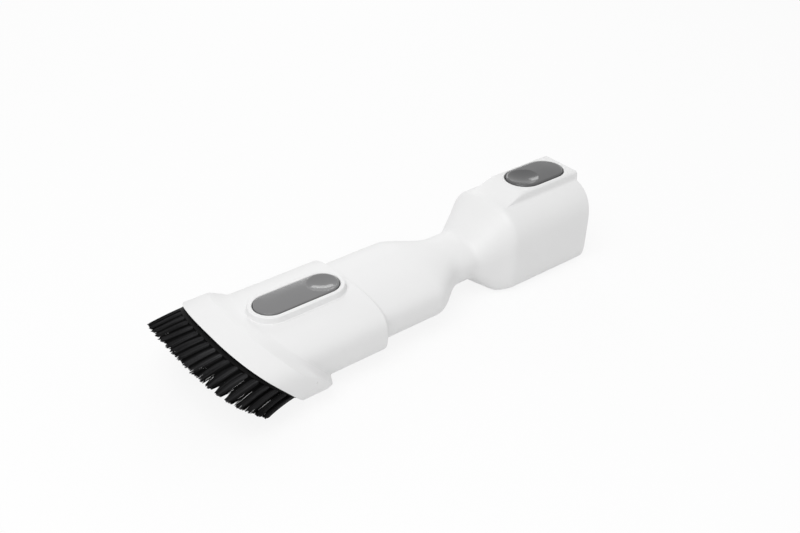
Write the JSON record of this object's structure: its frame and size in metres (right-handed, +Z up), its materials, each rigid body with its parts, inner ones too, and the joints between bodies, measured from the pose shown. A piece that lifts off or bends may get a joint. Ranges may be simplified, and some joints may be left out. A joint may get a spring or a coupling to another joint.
{
  "type": "vacuum dusting brush nozzle",
  "caption": "Two-in-one vacuum dusting brush: a collar with bristles round a slanted lip slides on an oval nozzle behind a connector with a release key.",
  "frame": {"origin": "middle of the tool's length and width, at the height of the underside it lies on", "axes": "+Y along the tool from the brush to the connector, +X across, +Z up through both buttons"},
  "size_m": [0.0703, 0.2061, 0.0441],
  "materials": {
    "white_plastic": "satin moulded, white",
    "sleeve_plastic": "moulded, light grey",
    "key_grey": "satin moulded, dark grey",
    "button_grey": "satin moulded, mid grey",
    "latch_plastic": "moulded, black",
    "seal_rubber": "matte, black",
    "steel": "bright",
    "bristle_nylon": "black nylon bristle",
    "backing_plastic": "moulded, black"
  },
  "bodies": {
    "tool_body": {"body_shell": "white_plastic", "socket_sleeve": "sleeve_plastic", "socket_seal": "seal_rubber", "release_pin": "steel", "release_spring": "steel"},
    "brush_carriage": {"brush_collar": "white_plastic", "brush_ring": "backing_plastic", "button_leaf_spring": "steel", "tuft_01": "bristle_nylon", "tuft_02": "bristle_nylon", "tuft_03": "bristle_nylon", "tuft_04": "bristle_nylon", "tuft_05": "bristle_nylon", "tuft_06": "bristle_nylon", "tuft_07": "bristle_nylon", "tuft_08": "bristle_nylon", "tuft_09": "bristle_nylon", "tuft_10": "bristle_nylon", "tuft_11": "bristle_nylon", "tuft_12": "bristle_nylon", "tuft_13": "bristle_nylon", "tuft_14": "bristle_nylon", "tuft_15": "bristle_nylon", "tuft_16": "bristle_nylon", "tuft_17": "bristle_nylon", "tuft_18": "bristle_nylon", "tuft_19": "bristle_nylon", "tuft_20": "bristle_nylon", "tuft_21": "bristle_nylon", "tuft_22": "bristle_nylon", "tuft_23": "bristle_nylon"},
    "collar_rocker": {"collar_button": "button_grey"},
    "release_rocker": {"release_key": "key_grey", "release_latch": "latch_plastic"}
  },
  "joints": [
    {"name": "brush_slide", "type": "slide", "parent": "tool_body", "child": "brush_carriage", "axis": [0, 1, 0], "range_m": [0, 0.026]},
    {"name": "collar_button_rock", "type": "hinge", "parent": "brush_carriage", "child": "collar_rocker", "pos_m": [0, -0.0439, 0.02975], "axis": [-1, 0, 0], "range_deg": [0, 3.3], "stiffness_Nm_per_rad": 0.2, "springref_deg": -2.86, "deforming": ["button_leaf_spring"]},
    {"name": "release_key_rock", "type": "hinge", "parent": "tool_body", "child": "release_rocker", "pos_m": [0, 0.0853, 0.0412], "axis": [1, 0, 0], "range_deg": [0, 8], "stiffness_Nm_per_rad": 0.2, "springref_deg": -5.73, "deforming": ["release_spring"]}
  ]
}
